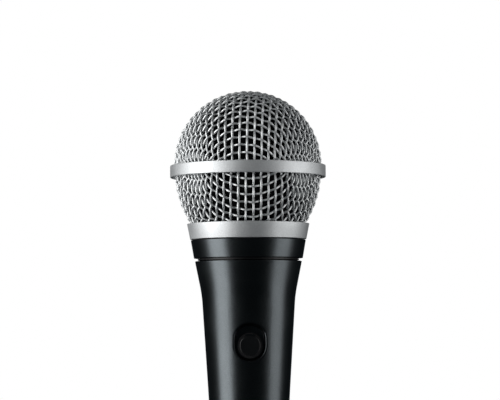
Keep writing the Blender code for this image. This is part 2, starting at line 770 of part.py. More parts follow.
def make_diaphragm():
    """The dome and its rolled surround, as a thin turned sheet. The coil hangs from the dome's edge."""
    edge_z = DIAPHRAGM_RIM_Z + DIAPHRAGM_THICKNESS
    top = []
    for r in spread(0, DOME_EDGE_RADIUS, 5):
        top.append((r, edge_z + DIAPHRAGM_RISE * (1 - (r / DOME_EDGE_RADIUS) ** 2)))
    rim_start = DIAPHRAGM_RADIUS - 0.0007
    for r in spread(DOME_EDGE_RADIUS, rim_start, 5)[1:]:
        across = (r - DOME_EDGE_RADIUS) / (rim_start - DOME_EDGE_RADIUS)
        top.append((r, edge_z + SURROUND_RISE * math.sin(math.pi * across)))
    top.append((DIAPHRAGM_RADIUS, edge_z))
    under = [(r, z - DIAPHRAGM_THICKNESS) for r, z in top]
    turned("diaphragm", [*top, *reversed(under)], "film", "moving_coil", 24)
    ring("voice_coil", COIL_RADII, COIL_Z, "copper", "moving_coil", 24)


def make_cap():
    low, high = CAP_Z
    wall = SEAT_RADII[1] - 0.001
    edge = GAP
    profile = [
        (0, high), (HOUSING_RADIUS - edge, high), (HOUSING_RADIUS, high - edge), (HOUSING_RADIUS, CAP_LIP_Z),
        (SEAT_RADII[1], CAP_LIP_Z), (SEAT_RADII[1], low), (wall, low), (wall, CAP_PLATE_Z), (0, CAP_PLATE_Z),
    ]
    cap = turned("resonator_cap", profile, "black_plastic", "cartridge")
    for number, (x, y) in enumerate([(0, 0), *around(6, CAP_HOLE_CIRCLE)]):
        cut(cap, rod_shape(
            f"cap_hole_{number}", (x, y, CAP_PLATE_Z - PAST / 2), (x, y, high + PAST), CAP_HOLE_RADIUS
        ))
    disc("front_felt", FELT_RADIUS, FELT_Z, "cloth", "cartridge", 24)


def make_shock_mount():
    inner, outer = MOUNT_RADII
    low, high = MOUNT_Z
    waist, half_waist, slope = outer - 0.0008, 0.0006, 0.0007
    middle = (low + high) / 2
    profile = [
        (outer, high), (outer, middle + half_waist + slope), (waist, middle + half_waist),
        (waist, middle - half_waist), (outer, middle - half_waist - slope), (outer, low),
        (inner, low), (inner, high),
    ]
    turned("shock_mount", profile, "rubber", None, closed=True)


# ---------------------------------------------------------------- the leads


def make_leads():
    pad_y = PCB_Y[0] - GAP - LEAD_RADIUS
    pin_top = PIN_Z[1] + GAP
    pads = (0.0022, -0.0022, 0.0)
    colours = ("black_wire", "red_wire", "white_wire")
    for number, (angle, pad_x, colour) in enumerate(zip(PIN_ANGLES, pads, colours), 1):
        x = PIN_CIRCLE_RADIUS * math.cos(math.radians(angle))
        y = PIN_CIRCLE_RADIUS * math.sin(math.radians(angle))
        route = [
            (x, y, pin_top), (x, y, pin_top + 0.004), (x * 0.8, y * 0.8 - 0.001, 0.038),
            (pad_x * 1.2, pad_y - 0.0005, 0.052), (pad_x, pad_y - 0.0004, 0.06), (pad_x, pad_y, 0.0675),
        ]
        lead(f"output_lead_{number}", route, colour, None)
    for side, name, colour in ((-1, "hot", "red_wire"), (1, "cold", "black_wire")):
        x = side * TAG_X
        route = [
            (side * 0.0015, pad_y, 0.0855), (side * 0.0015, pad_y, 0.0905),
            (side * 0.002, pad_y + 0.0005, 0.0945), (x, -0.003, 0.0985),
            (x, -0.0003, 0.1005), (x, 0, TAG_Z[0] - GAP),
        ]
        lead(f"cartridge_lead_{name}", route, colour, None)


new_body("switch", (0, 0, BUTTON_Z))
new_body("cartridge", (0, 0, HOUSING_Z[0]))
new_body("moving_coil", (0, 0, DIAPHRAGM_RIM_Z), "cartridge")
new_body("windscreen", (0, 0, COLLAR_Z[0]))
new_body("grille", (0, 0, COLLAR_Z[0]), "windscreen")
make_grille()
make_foam()
make_neck()
make_connector(make_handle())
make_moving_switch()
make_fixed_switch()
make_housing()
make_motor()
make_diaphragm()
make_cap()
make_shock_mount()
make_leads()
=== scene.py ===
"""The looks of the dynamic microphone: woven wire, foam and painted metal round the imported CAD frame."""

import json
import math

import bmesh
import bpy
import numpy as np
from mathutils import Matrix, Vector


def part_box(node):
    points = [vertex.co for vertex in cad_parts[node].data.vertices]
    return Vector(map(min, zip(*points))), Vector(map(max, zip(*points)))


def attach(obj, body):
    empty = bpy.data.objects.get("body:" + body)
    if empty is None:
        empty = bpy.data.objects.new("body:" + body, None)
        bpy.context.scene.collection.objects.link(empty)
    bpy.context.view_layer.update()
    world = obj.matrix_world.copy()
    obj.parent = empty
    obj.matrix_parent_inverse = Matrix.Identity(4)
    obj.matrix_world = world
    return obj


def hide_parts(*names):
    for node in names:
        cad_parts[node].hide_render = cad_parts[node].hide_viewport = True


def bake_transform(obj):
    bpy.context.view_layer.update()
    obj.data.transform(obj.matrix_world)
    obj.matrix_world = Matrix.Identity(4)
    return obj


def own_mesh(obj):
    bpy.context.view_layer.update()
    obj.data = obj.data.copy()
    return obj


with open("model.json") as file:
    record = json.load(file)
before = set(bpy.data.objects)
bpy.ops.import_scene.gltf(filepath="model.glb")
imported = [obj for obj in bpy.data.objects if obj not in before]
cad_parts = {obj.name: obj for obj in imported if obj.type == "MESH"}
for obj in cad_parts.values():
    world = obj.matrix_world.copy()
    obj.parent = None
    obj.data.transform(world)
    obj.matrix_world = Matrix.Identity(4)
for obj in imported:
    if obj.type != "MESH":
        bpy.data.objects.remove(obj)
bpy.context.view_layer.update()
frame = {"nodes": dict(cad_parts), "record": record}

MM = 0.001
FRONT = -math.pi / 2  # the angle about +Z of the side with the switch

# The handle's outline, as in the CAD. Its slope grows from the tail to the grip, then opens to the flare.
TAIL_RADIUS = 11.65 * MM
TAIL_SLOPE = 0.0121
GRIP_SLOPE = 0.0626
FLARE_SLOPE = 0.2
GRIP_Z = 64.5 * MM
FLARE_Z = (90.5 * MM, 96.5 * MM)
HANDLE_WALL = 2.3 * MM

# The switch's pocket in the handle.
POCKET_Z = 77.7 * MM
POCKET_RADIUS = 5.1 * MM
POCKET_STRAIGHT = 2.1 * MM
POCKET_FLOOR_Y = -12.4 * MM
POCKET_DRAFT = 0.24
POCKET_RIM = 0.75 * MM  # the fillet at its mouth
POCKET_HEEL = 0.35 * MM  # the fillet at its floor
HANDLE_COLUMNS = 180
WINDOW_HALF_COLUMNS = 14  # the window is the patch of the handle's skin round the pocket
WINDOW_ROWS = 28
WINDOW_HALF_HEIGHT = 11.2 * MM
WINDOW_EASE = 1.6  # draws its rings closer together at the pocket's rim

# The grille's two sheets, as in the CAD.
HEAD_RADIUS = 25.15 * MM
HEAD_CENTRE_Z = 137.85 * MM
SKIRT_ARC_RADIUS = 33.1 * MM
SKIRT_ARC_CENTRE = (-8.15 * MM, 135.6 * MM)
WIRE_RADIUS = 0.35 * MM
MESH_INSET = 2.02 * WIRE_RADIUS  # from the outside of the wires to the middle of the mesh
STEPS_PER_CELL = 8
WIRE_SIDES = 8

# The foam liners.
FOAM_INSET = 1.8 * MM  # from the outside of the wires
FOAM_SPLIT_Z = 134.5 * MM
DOME_FOAM_THICKNESS = 5 * MM
SKIRT_FOAM_THICKNESS = 3 * MM

# The band, the collar, the ring and the neck that the collar screws on.
BAND_CLEARANCE = 0.45 * MM  # between the band's bore and the wires
COLLAR_FOOT_RADIUS = 19.75 * MM
COLLAR_TOP_RADIUS = 20.8 * MM
COLLAR_TOP_Z = 117.7 * MM
COLLAR_GROOVE_Z = 115.9 * MM  # the floor of the groove that holds the skirt's edge
COLLAR_BORE = 16.9 * MM
RING_TOP_RADIUS = 19.55 * MM
RING_FOOT_RADIUS = 18.5 * MM
NECK_RADIUS = 16.6 * MM
THREAD_FOOT_Z = 112.0 * MM
THREAD_PITCH = 1.5 * MM
THREAD_DEPTH = 0.5 * MM

# The connector's socket, and the screw that holds its insert.
SOCKET_RADIUS = 8.25 * MM
SOCKET_END_Z = 24.3 * MM
SET_SCREW_Z = 19 * MM
SET_SCREW_BORE = 1.55 * MM
SET_SCREW_END = 5 * MM  # from the axis

# The lights stand round the microphone at one distance and one height.
LIGHT_DISTANCE = 0.8
LIGHT_HEIGHT = 0.16
LIGHT_LENGTH = 1.3


# ---------------------------------------------------------------- materials

BROAD_GRAINS = 40  # the broad noise is this many grains across
ROUGHNESS_SWING = 0.08
FOAM_CELL = 0.7 * MM
WINDING_PITCH = 0.8 * MM


def shader_of(material):
    return material.node_tree.nodes["Principled BSDF"]


def noise_node(material, scale, detail=3.0, roughness=0.55):
    """Noise in the object's own coordinates. scale is in features per metre."""
    nodes, links = material.node_tree.nodes, material.node_tree.links
    coordinates = nodes.get("Texture Coordinate") or nodes.new("ShaderNodeTexCoord")
    noise = nodes.new("ShaderNodeTexNoise")
    noise.inputs["Scale"].default_value = scale
    noise.inputs["Detail"].default_value = detail
    noise.inputs["Roughness"].default_value = roughness
    links.new(coordinates.outputs["Object"], noise.inputs["Vector"])
    return noise


def vary_colour(material, source, dark, light, low=0.3, high=0.7):
    """Runs the base colour from dark to light over the source's range."""
    nodes, links = material.node_tree.nodes, material.node_tree.links
    ramp = nodes.new("ShaderNodeValToRGB")
    ramp.color_ramp.elements[0].position = low
    ramp.color_ramp.elements[0].color = (*dark, 1.0)
    ramp.color_ramp.elements[1].position = high
    ramp.color_ramp.elements[1].color = (*light, 1.0)
    links.new(source, ramp.inputs["Fac"])
    links.new(ramp.outputs["Color"], shader_of(material).inputs["Base Color"])


def vary_roughness(material, source, low, high):
    nodes, links = material.node_tree.nodes, material.node_tree.links
    remap = nodes.new("ShaderNodeMapRange")
    remap.inputs["From Min"].default_value = 0.3
    remap.inputs["From Max"].default_value = 0.7
    remap.inputs["To Min"].default_value = low
    remap.inputs["To Max"].default_value = high
    links.new(source, remap.inputs["Value"])
    links.new(remap.outputs["Result"], shader_of(material).inputs["Roughness"])


def add_bump(material, source, height, strength=1.0):
    """Raises the surface by up to the height, in metres, on top of any bump that is there already."""
    nodes, links = material.node_tree.nodes, material.node_tree.links
    bump = nodes.new("ShaderNodeBump")
    bump.inputs["Strength"].default_value = strength
    bump.inputs["Distance"].default_value = height
    links.new(source, bump.inputs["Height"])
    normal = shader_of(material).inputs["Normal"]
    if normal.is_linked:
        links.new(normal.links[0].from_socket, bump.inputs["Normal"])
    links.new(bump.outputs["Normal"], normal)


def shade(colour, factor):
    return tuple(min(1.0, c * factor) for c in colour)


def make_material(
    name, colour, roughness, metallic=0.0, grain=0.25 * MM, height=0.01 * MM, contrast=0.12, **sockets
):
    """A Principled material whose colour and bump follow a fine grain, and its roughness a broader one."""
    material = bpy.data.materials.new(name)
    material.use_nodes = True
    shader = shader_of(material)
    shader.inputs["Metallic"].default_value = metallic
    for socket, value in sockets.items():
        shader.inputs[socket.replace("_", " ")].default_value = value
    fine = noise_node(material, 1 / grain)
    broad = noise_node(material, 1 / (grain * BROAD_GRAINS), detail=2.0)
    dark, light = shade(colour, 1 - contrast), shade(colour, 1 + contrast)
    vary_colour(material, fine.outputs["Fac"], dark, light)
    low, high = roughness * (1 - ROUGHNESS_SWING), roughness * (1 + ROUGHNESS_SWING)
    vary_roughness(material, broad.outputs["Fac"], low, high)
    add_bump(material, fine.outputs["Fac"], height)
    return material


def make_foam_material():
    """Open-cell foam: small cells between fine ribs, each cell painted darker towards its sunken middle as
    shade.
    """
    material = make_material(
        "foam_cells", (0.003, 0.003, 0.0032), 0.95, grain=0.3 * MM, height=0.02 * MM, Specular_IOR_Level=0.08
    )
    nodes, links = material.node_tree.nodes, material.node_tree.links
    cells = nodes.new("ShaderNodeTexVoronoi")
    cells.inputs["Scale"].default_value = 1 / FOAM_CELL
    links.new(nodes["Texture Coordinate"].outputs["Object"], cells.inputs["Vector"])
    # Painted shade: the colour darkens towards each cell's middle, where the bump below sinks the surface
    # into a pit.
    dark, light = (0.001, 0.001, 0.001), (0.005, 0.005, 0.0055)
    vary_colour(material, cells.outputs["Distance"], dark, light, low=0.15, high=0.6)
    add_bump(material, cells.outputs["Distance"], 0.15 * MM)
    return material


def make_winding_material():
    """Fine enamelled wire, wound round the axis."""
    material = make_material(
        "copper_winding", (0.72, 0.3, 0.14), 0.3, 1.0, grain=0.1 * MM, height=0.002 * MM
    )
    nodes, links = material.node_tree.nodes, material.node_tree.links
    turns = nodes.new("ShaderNodeTexWave")
    turns.bands_direction = "Z"
    turns.inputs["Scale"].default_value = 1 / WINDING_PITCH
    links.new(nodes["Texture Coordinate"].outputs["Object"], turns.inputs["Vector"])
    add_bump(material, turns.outputs["Fac"], 0.03 * MM)
    return material


MATERIALS = {
    "satin_silver": make_material(
        "satin_silver_paint", (0.832, 0.849, 0.856), 0.6, 1.0,
        grain=0.24 * MM, height=0.006 * MM, contrast=0.12,
    ),
    "wire_steel": make_material(
        "plated_wire", (0.925, 0.94, 0.945), 0.56, 1.0,
        grain=0.3 * MM, height=0.004 * MM, contrast=0.06,
    ),
    "black_paint": make_material(
        "metallic_black_paint", (0.081, 0.09, 0.095), 0.3, 1.0,
        grain=0.22 * MM, height=0.003 * MM, contrast=0.22,
    ),
    "black_plastic": make_material(
        "moulded_black_plastic", (0.012, 0.012, 0.013), 0.42, height=0.01 * MM
    ),
    "switch_plastic": make_material(
        "polished_black_plastic", (0.004, 0.0045, 0.005), 0.3, height=0.006 * MM
    ),
    "foam": make_foam_material(),
    "rubber": make_material(
        "mount_rubber", (0.018, 0.018, 0.018), 0.75, grain=0.4 * MM, height=0.02 * MM
    ),
    "steel": make_material(
        "plated_steel", (0.62, 0.62, 0.63), 0.3, 1.0, height=0.004 * MM, contrast=0.06
    ),
    "magnet": make_material(
        "nickel_plate", (0.5, 0.5, 0.5), 0.22, 1.0, height=0.003 * MM, contrast=0.05
    ),
    "copper": make_winding_material(),
    "brass": make_material(
        "plated_contact", (0.78, 0.66, 0.38), 0.25, 1.0, height=0.003 * MM, contrast=0.06
    ),
    "film": make_material(
        "formed_film", (0.7, 0.6, 0.36), 0.2, grain=0.6 * MM, height=0.01 * MM, Coat_Weight=0.3
    ),
    "board": make_material("solder_mask", (0.02, 0.13, 0.05), 0.35, grain=0.5 * MM, height=0.008 * MM),
    "cloth": make_material(
        "acoustic_felt", (0.42, 0.4, 0.35), 0.95, grain=0.25 * MM, height=0.08 * MM, contrast=0.3
    ),
    "red_wire": make_material("red_insulation", (0.45, 0.02, 0.02), 0.4, grain=0.5 * MM),
    "white_wire": make_material("white_insulation", (0.66, 0.66, 0.63), 0.4, grain=0.5 * MM),
    "black_wire": make_material("black_insulation", (0.02, 0.02, 0.02), 0.4, grain=0.5 * MM),
}


# ---------------------------------------------------------------- mesh tools

SLIVER = 0.004 * MM
STRAIGHT = math.radians(12)  # a corner that turns less than this isn't rounded


def new_piece(name, points, faces, material):
    mesh = bpy.data.meshes.new(name)
    mesh.from_pydata([tuple(p) for p in points], [], [tuple(f) for f in faces])
    obj = bpy.data.objects.new(name, mesh)
    bpy.context.scene.collection.objects.link(obj)
    if material:
        mesh.materials.append(MATERIALS[material])
    return obj


def smooth(obj, sharp_angle=35.0):
    obj.data.shade_smooth()
    obj.data.set_sharp_from_angle(angle=math.radians(sharp_angle))
    return obj


def stand_for(obj, body, slot, *nodes):
    """Puts a piece on its body, in place of the CAD nodes that it stands for."""
    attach(obj, body)
    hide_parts(*nodes)
    return obj


def rounded(profile, radius, steps=4, closed=True):
    """The outline with each of its corners turned into a small arc."""
    points = [Vector(p) for p in profile]
    made = []
    for i, corner in enumerate(points):
        if not closed and i in (0, len(points) - 1):
            made.append(corner)
            continue
        back = points[i - 1] - corner
        ahead = points[(i + 1) % len(points)] - corner
        if back.angle(-ahead) < STRAIGHT:
            made.append(corner)
            continue
        reach = min(radius, back.length * 0.45, ahead.length * 0.45)
        start = corner + back.normalized() * reach
        end = corner + ahead.normalized() * reach
        for k in range(steps + 1):
            t = k / steps
            made.append(start * (1 - t) ** 2 + corner * 2 * t * (1 - t) + end * t**2)
    return made


def turned(name, profile, material, columns=128, closed=False, centre=(0.0, 0.0)):
    """Sweeps (radius, height) points round the axis, top to bottom down the outer side.

    An open profile starts on the axis.
    """
    count = len(profile)
    angles = [2 * math.pi * k / columns for k in range(columns)]
    points, rows = [], []
    for radius, z in profile:
        row = []
        on_axis = radius < 1e-9
        for angle in angles[: 1 if on_axis else columns]:
            row.append(len(points))
            x, y = radius * math.cos(angle), radius * math.sin(angle)
            points.append((centre[0] + x, centre[1] + y, z))
        rows.append(row * columns if on_axis else row)
    faces = []
    for i in range(count if closed else count - 1):
        upper, lower = rows[i], rows[(i + 1) % count]
        for k in range(columns):
            n = (k + 1) % columns
            face = [upper[k], lower[k], lower[n], upper[n]]
            faces.append(list(dict.fromkeys(face)))
    return smooth(new_piece(name, points, faces, material))


def carve(obj, *cutters, operation="DIFFERENCE"):
    """Cuts the cutters out of the piece, or joins them to it, and removes them and any sliver faces."""
    for cutter in cutters:
        modifier = obj.modifiers.new("carve", "BOOLEAN")
        modifier.operation = operation
        modifier.solver = "EXACT"
        modifier.object = cutter
    bpy.context.view_layer.update()
    depsgraph = bpy.context.evaluated_depsgraph_get()
    carved = bpy.data.meshes.new_from_object(obj.evaluated_get(depsgraph))
    obj.modifiers.clear()
    obj.data = carved
    clean = bmesh.new()
    clean.from_mesh(carved)
    bmesh.ops.remove_doubles(clean, verts=clean.verts, dist=SLIVER)
    bmesh.ops.dissolve_degenerate(clean, dist=SLIVER / 2, edges=clean.edges)
    clean.to_mesh(carved)
    clean.free()
    for cutter in cutters:
        bpy.data.objects.remove(cutter, do_unlink=True)
    return smooth(obj)


def box_cutter(low, high):
    (x0, y0, z0), (x1, y1, z1) = low, high
    points = [(x, y, z) for z in (z0, z1) for y in (y0, y1) for x in (x0, x1)]
    faces = [(0, 2, 3, 1), (4, 5, 7, 6), (0, 1, 5, 4), (2, 6, 7, 3), (0, 4, 6, 2), (1, 3, 7, 5)]
    return new_piece("cutter", points, faces, None)


def lay_along_y(obj):
    """Turns a piece made about +Z so that its top faces the front."""
    obj.data.transform(Matrix.Rotation(math.pi / 2, 4, "X"))
    return obj


def spread(low, high, count):
    return [low + (high - low) * i / (count - 1) for i in range(count)]


def outer_radius(node):
    low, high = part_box(node)
    return (high.x - low.x) / 2


# ---------------------------------------------------------------- the woven grille

NEWTON_ROUNDS = 10
SINGULAR = 1e-18
SHORTEST_RUN = 5  # in steps
LIFT = 1.02 * WIRE_RADIUS  # how far a wire swings to each side of the middle surface


class Dome:
    """The middle surface of the dome's mesh: half a ball on a short straight wall."""

    def __init__(self, radius):
        self.radius = radius
        self.pole = np.array([0.0, 0.0, HEAD_CENTRE_Z + radius])

    def value_and_slope(self, p):
        """How far outside the surface each point is, and the direction straight out."""
        offset = p - np.array([0.0, 0.0, HEAD_CENTRE_Z])
        offset[:, 2] = np.maximum(offset[:, 2], 0.0)
        length = np.linalg.norm(offset, axis=1)
        return length - self.radius, offset / length[:, None]


class Cup:
    """The middle surface of the skirt's mesh: a cup with an arc for its side, and no bottom in the end."""

    def __init__(self, radius, bottom_z, corner):
        self.radius, self.bottom_z, self.corner = radius, bottom_z, corner
        self.pole = np.array([0.0, 0.0, bottom_z])

    def value_and_slope(self, p):
        """As for the dome. The side and the bottom blend into one another at the corner."""
        centre_r, centre_z = SKIRT_ARC_CENTRE
        across = np.maximum(np.hypot(p[:, 0], p[:, 1]), 1e-9)
        outward = across - centre_r
        upward = np.minimum(p[:, 2] - centre_z, 0.0)
        length = np.hypot(outward, upward)
        slope = np.stack([outward * p[:, 0] / across, outward * p[:, 1] / across, upward], axis=1)
        side = np.exp((length - self.radius) / self.corner)
        bottom = np.exp((self.bottom_z - p[:, 2]) / self.corner)
        share = (side / (side + bottom))[:, None]
        mixed = share * slope / length[:, None] + (1 - share) * np.array([0.0, 0.0, -1.0])
        return self.corner * np.log(side + bottom), mixed


def solve_on(surface, guess, anchors, step, metric):
    """Moves each guess to the surface, one step from each of its two anchors.

    An anchor of None stands for the plane through the axis.
    """
    p = guess
    for _ in range(NEWTON_ROUNDS):
        value, slope = surface.value_and_slope(p.copy())
        wrong, rows = [value * step], [slope * step]
        for anchor in anchors:
            if anchor is None:
                wrong.append(p[:, 1] * step)
                rows.append(np.tile([0.0, step, 0.0], (len(p), 1)))
                continue
            reach = p - anchor
            wrong.append((reach**2 * metric).sum(1) - step**2)
            rows.append(2 * reach * metric)
        matrix, wrong = np.stack(rows, axis=1), np.stack(wrong, axis=1)
        flat = ~(np.abs(np.linalg.det(matrix)) > SINGULAR)
        matrix[flat] = np.eye(3)
        wrong[flat] = np.nan
        p = p - np.linalg.solve(matrix, wrong[:, :, None])[:, :, 0]
    return p


def quarter_net(surface, step, count, stretch):
    """A square mesh of wires laid on a quarter of the surface from its pole, as drawing does.

    Node (i, j) lies on the surface, one step from (i - 1, j) and one from (i, j - 1), so the squares shear
    but don't stretch, except by the given stretch along Z. Each diagonal is solved at once by Newton's
    method. Nodes that the wires can't reach are left as nan.
    """
    metric = np.array([1.0, 1.0, 1 / stretch**2])
    net = np.full((count, count, 3), np.nan)
    net[0, 0] = surface.pole
    ahead = np.array([step, 0.0, 0.0])
    for i in range(1, count):
        previous = net[i - 1, 0]
        net[i, 0] = solve_on(surface, (previous + ahead)[None], [previous[None], None], step, metric)[0]
        ahead = net[i, 0] - previous
    net[0, :, 0], net[0, :, 1], net[0, :, 2] = 0.0, net[:, 0, 0], net[:, 0, 2]
    for total in range(2, 2 * count - 1):
        i = np.arange(max(1, total - count + 1), min(count - 1, total - 1) + 1)
        j = total - i
        a, b, back = net[i - 1, j], net[i, j - 1], net[i - 1, j - 1]
        net[i, j] = solve_on(surface, a + b - back, [a, b], step, metric)
    return net


def whole_net(surface, step, count, stretch):
    """The quarter net, mirrored to all four sides: index 0 is -(count - 1)."""
    quarter = quarter_net(surface, step, count, stretch)
    index = np.arange(-(count - 1), count)
    i, j = np.meshgrid(index, index, indexing="ij")
    net = quarter[np.abs(i), np.abs(j)].copy()
    net[..., 0] *= np.where(i < 0, -1, 1)
    net[..., 1] *= np.where(j < 0, -1, 1)
    return net


def tube_faces(first, rings, sides):
    faces = []
    for ring in range(rings - 1):
        here, there = first + ring * sides, first + (ring + 1) * sides
        for k in range(sides):
            n = (k + 1) % sides
            faces.append((here + k, here + n, there + n, there + k))
    faces.append(tuple(first + k for k in reversed(range(sides))))
    last = first + (rings - 1) * sides
    faces.append(tuple(last + k for k in range(sides)))
    return faces


def sweep_wire(path, normals, radius, sides):
    """Rings of points round a path, each square to it."""
    along = np.gradient(path, axis=0)
    along /= np.linalg.norm(along, axis=1)[:, None]
    up = normals - (normals * along).sum(1)[:, None] * along
    up /= np.linalg.norm(up, axis=1)[:, None]
    side = np.cross(along, up)
    angles = np.linspace(0, 2 * math.pi, sides, endpoint=False)
    ring = np.cos(angles)[None, :, None] * up[:, None] + np.sin(angles)[None, :, None] * side[:, None]
    return (path[:, None] + radius * ring).reshape(-1, 3)


def runs_within(keep):
    """The stretches of a row of flags that are true, as (start, end) with end past the last."""
    edges = np.flatnonzero(np.diff(np.concatenate([[0], keep.astype(int), [0]])))
    return list(zip(edges[::2], edges[1::2]))


def weave(name, surface, net, family, phases, low_z, high_z, turn):
    """All the wires of one family of a net, over and under the other family, between two heights."""
    middle = net.shape[0] // 2
    own_phase, cross_phase = phases if family == 0 else phases[::-1]
    lines = net if family == 0 else net.transpose(1, 0, 2)
    swing = LIFT if family == 0 else -LIFT
    points, faces = [], []
    first = 0
    for line in range(lines.shape[0]):
        offset = line - middle - own_phase
        if offset % STEPS_PER_CELL:
            continue
        parity = -1 if (offset // STEPS_PER_CELL) % 2 else 1
        row = lines[line]
        keep = np.isfinite(row[:, 0])
        keep &= (np.nan_to_num(row[:, 2]) >= low_z) & (np.nan_to_num(row[:, 2]) <= high_z)
        for start, end in runs_within(keep):
            if end - start < SHORTEST_RUN:
                continue
            path = row[start:end]
            _, normals = surface.value_and_slope(path.copy())
            phase = math.pi * (np.arange(start, end) - middle - cross_phase) / STEPS_PER_CELL
            path = path + (swing * parity * np.cos(phase))[:, None] * normals
            points.append(sweep_wire(path, normals, WIRE_RADIUS, WIRE_SIDES))
            faces += tube_faces(first, end - start, WIRE_SIDES)
            first += (end - start) * WIRE_SIDES
    obj = new_piece(name, np.concatenate(points), faces, "wire_steel")
    obj.data.transform(Matrix.Rotation(turn, 4, "Z"))
    return smooth(obj, 60.0)


def make_sheet(part, surface, pitch, stretch, phases, low_z, high_z, reach, turn):
    """Both families of a drawn mesh. phases are in steps; reach is the mesh's half width in cells."""
    net = whole_net(surface, pitch / STEPS_PER_CELL, reach * STEPS_PER_CELL, stretch)
    for family, word in enumerate(("warp", "weft")):
        obj = weave(f"{part}_{word}", surface, net, family, phases, low_z, high_z, turn)
        stand_for(obj, "grille", "wire_steel", part)


def make_grille():
    """Each sheet's pitch, stretch, phases and turn set where its wires cross on the front of the head."""
    low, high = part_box("grille_dome")
    make_sheet(
        "grille_dome", Dome(HEAD_RADIUS - MESH_INSET), pitch=2.48 * MM, stretch=1.07, phases=(-4, -1),
        low_z=low.z + WIRE_RADIUS, high_z=high.z, reach=21, turn=math.radians(-5.1),
    )
    low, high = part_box("grille_skirt")
    make_sheet(
        "grille_skirt", Cup(SKIRT_ARC_RADIUS - MESH_INSET, bottom_z=low.z - 0.7 * MM, corner=0.8 * MM),
        pitch=2.53 * MM, stretch=1.043, phases=(-4, -3),
        low_z=low.z + WIRE_RADIUS, high_z=high.z - WIRE_RADIUS, reach=22, turn=math.radians(-0.2),
    )


def make_rings():
    """The band and the collar, with soft edges. The collar has a groove for the skirt's edge."""
    low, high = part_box("grille_band")
    outer = outer_radius("grille_band")
    bore = HEAD_RADIUS + BAND_CLEARANCE
    outline = [(outer, high.z), (outer, low.z), (bore, low.z), (bore, high.z)]
    band = turned("head_band", rounded(outline, 0.3 * MM), "satin_silver", 192, closed=True)
    stand_for(band, "grille", "satin_silver", "grille_band")

    low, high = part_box("grille_collar")
    groove_inner, groove_outer = 17.6 * MM, 20.0 * MM
    outline = [
        (COLLAR_TOP_RADIUS, COLLAR_TOP_Z), (COLLAR_FOOT_RADIUS, low.z),
        (COLLAR_BORE, low.z), (COLLAR_BORE, high.z),
        (groove_inner, high.z), (groove_inner, COLLAR_GROOVE_Z),
        (groove_outer, COLLAR_GROOVE_Z), (groove_outer, COLLAR_TOP_Z),
    ]
    collar = turned("collar", rounded(outline, 0.14 * MM), "satin_silver", 192, closed=True)
    stand_for(collar, "grille", "satin_silver", "grille_collar")


def skirt_foam_radius(z):
    centre_r, centre_z = SKIRT_ARC_CENTRE
    reach = SKIRT_ARC_RADIUS - FOAM_INSET
    return centre_r + math.sqrt(reach**2 - (z - centre_z) ** 2)


def head_arc(radius, angles):
    """(radius, height) points on a circle about the head's centre, at angles from straight up."""
    return [(radius * math.sin(a), HEAD_CENTRE_Z + radius * math.cos(a)) for a in angles]


def make_foam():
    """The two foam liners. The skirt's ends in a thin lip round the collar's inner wall."""
    outer = HEAD_RADIUS - FOAM_INSET
    inner = outer - DOME_FOAM_THICKNESS
    over = head_arc(outer, spread(0, math.pi / 2, 24))
    under = head_arc(inner, spread(math.pi / 2, 0, 20))
    over[0], under[-1] = (0.0, over[0][1]), (0.0, under[-1][1])
    outline = [*over, (outer, FOAM_SPLIT_Z), (inner, FOAM_SPLIT_Z), *under]
    dome = turned("foam_dome_liner", rounded(outline, 0.8 * MM, closed=False), "foam", 96)
    stand_for(dome, "windscreen", "foam", "foam_dome")

    low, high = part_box("foam_skirt")
    lip_radius, lip_z = 17.9 * MM, 118 * MM
    side = [(skirt_foam_radius(z), z) for z in [*spread(high.z, low.z, 12), lip_z]]
    inside = [(r - SKIRT_FOAM_THICKNESS, z) for r, z in reversed(side[:-2])]
    inside = [(lip_radius, lip_z), (lip_radius, low.z), *inside]
    skirt = turned("foam_skirt_liner", rounded([*side, *inside], 0.12 * MM), "foam", 96, closed=True)
    stand_for(skirt, "windscreen", "foam", "foam_skirt")


# ---------------------------------------------------------------- the handle


def ramp(z, low, high):
    """The integral of a slope that grows from 0 to 1 between two heights."""
    if z <= low:
        return 0.0
    if z < high:
        return (z - low) ** 2 / (2 * (high - low))
    return z - (low + high) / 2


def handle_radius(z):
    grip = (GRIP_SLOPE - TAIL_SLOPE) * ramp(z, 0, GRIP_Z)
    flare = (FLARE_SLOPE - GRIP_SLOPE) * ramp(z, *FLARE_Z)
    return TAIL_RADIUS + TAIL_SLOPE * z + grip + flare


def slot_outline(direction, grow):
    """The point of the pocket's round-ended outline in a direction from its centre, as (x, z - centre)."""
    radius = POCKET_RADIUS + grow
    dx, dz = math.cos(direction), math.sin(direction)
    half = POCKET_STRAIGHT / 2
    if abs(dx) > 1e-9 and abs(dz / dx) * radius <= half:
        return math.copysign(radius, dx), abs(radius / dx) * dz
    end = math.copysign(half, dz)
    along = dz * end
    reach = along + math.sqrt(along**2 - half**2 + radius**2)
    return reach * dx, reach * dz


def skin_y(x, z):
    """Where the front of the handle's skin lies."""
    return -math.sqrt(handle_radius(z) ** 2 - x**2)


